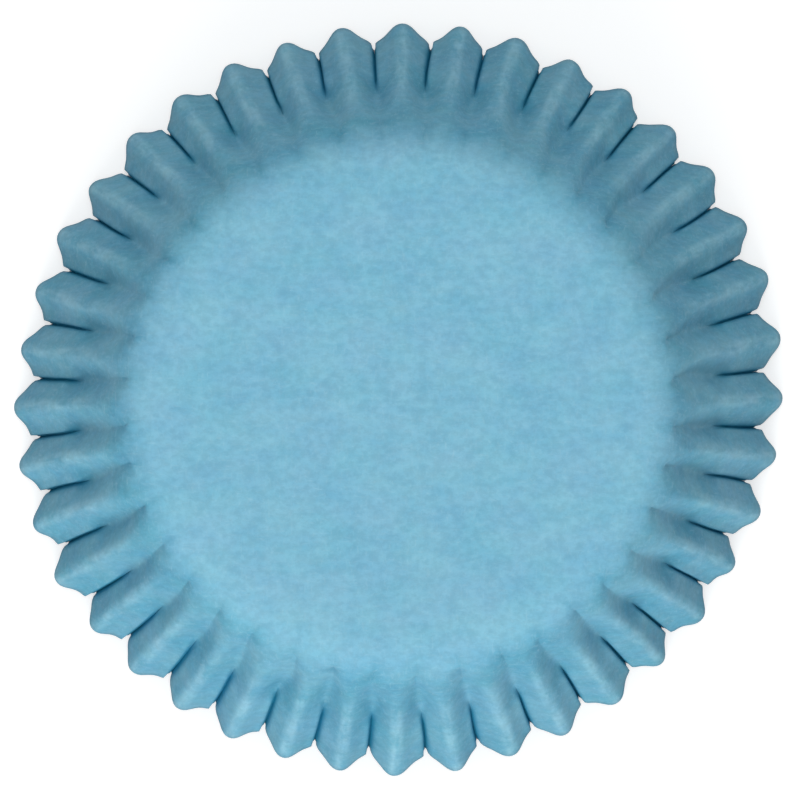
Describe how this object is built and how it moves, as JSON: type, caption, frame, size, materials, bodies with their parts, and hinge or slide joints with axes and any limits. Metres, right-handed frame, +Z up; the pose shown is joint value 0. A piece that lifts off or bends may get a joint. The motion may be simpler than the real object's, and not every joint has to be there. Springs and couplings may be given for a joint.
{
  "type": "cupcake liner",
  "caption": "Pleated paper baking cup for a cupcake or muffin, a flat round base with a leaning wall pressed into flutes, lying mouth down.",
  "frame": {"origin": "centre of the rim, on the surface that the cup stands on mouth down", "axes": "+Z up through the middle of the base, out of its printed outer side; +X to the right and +Y to the top as seen from above"},
  "size_m": [0.0754, 0.0738, 0.0319],
  "materials": {
    "blue_paper": "matte greaseproof paper, light blue, finely flecked"
  },
  "bodies": {
    "root": {"liner": "blue_paper"}
  },
  "joints": []
}
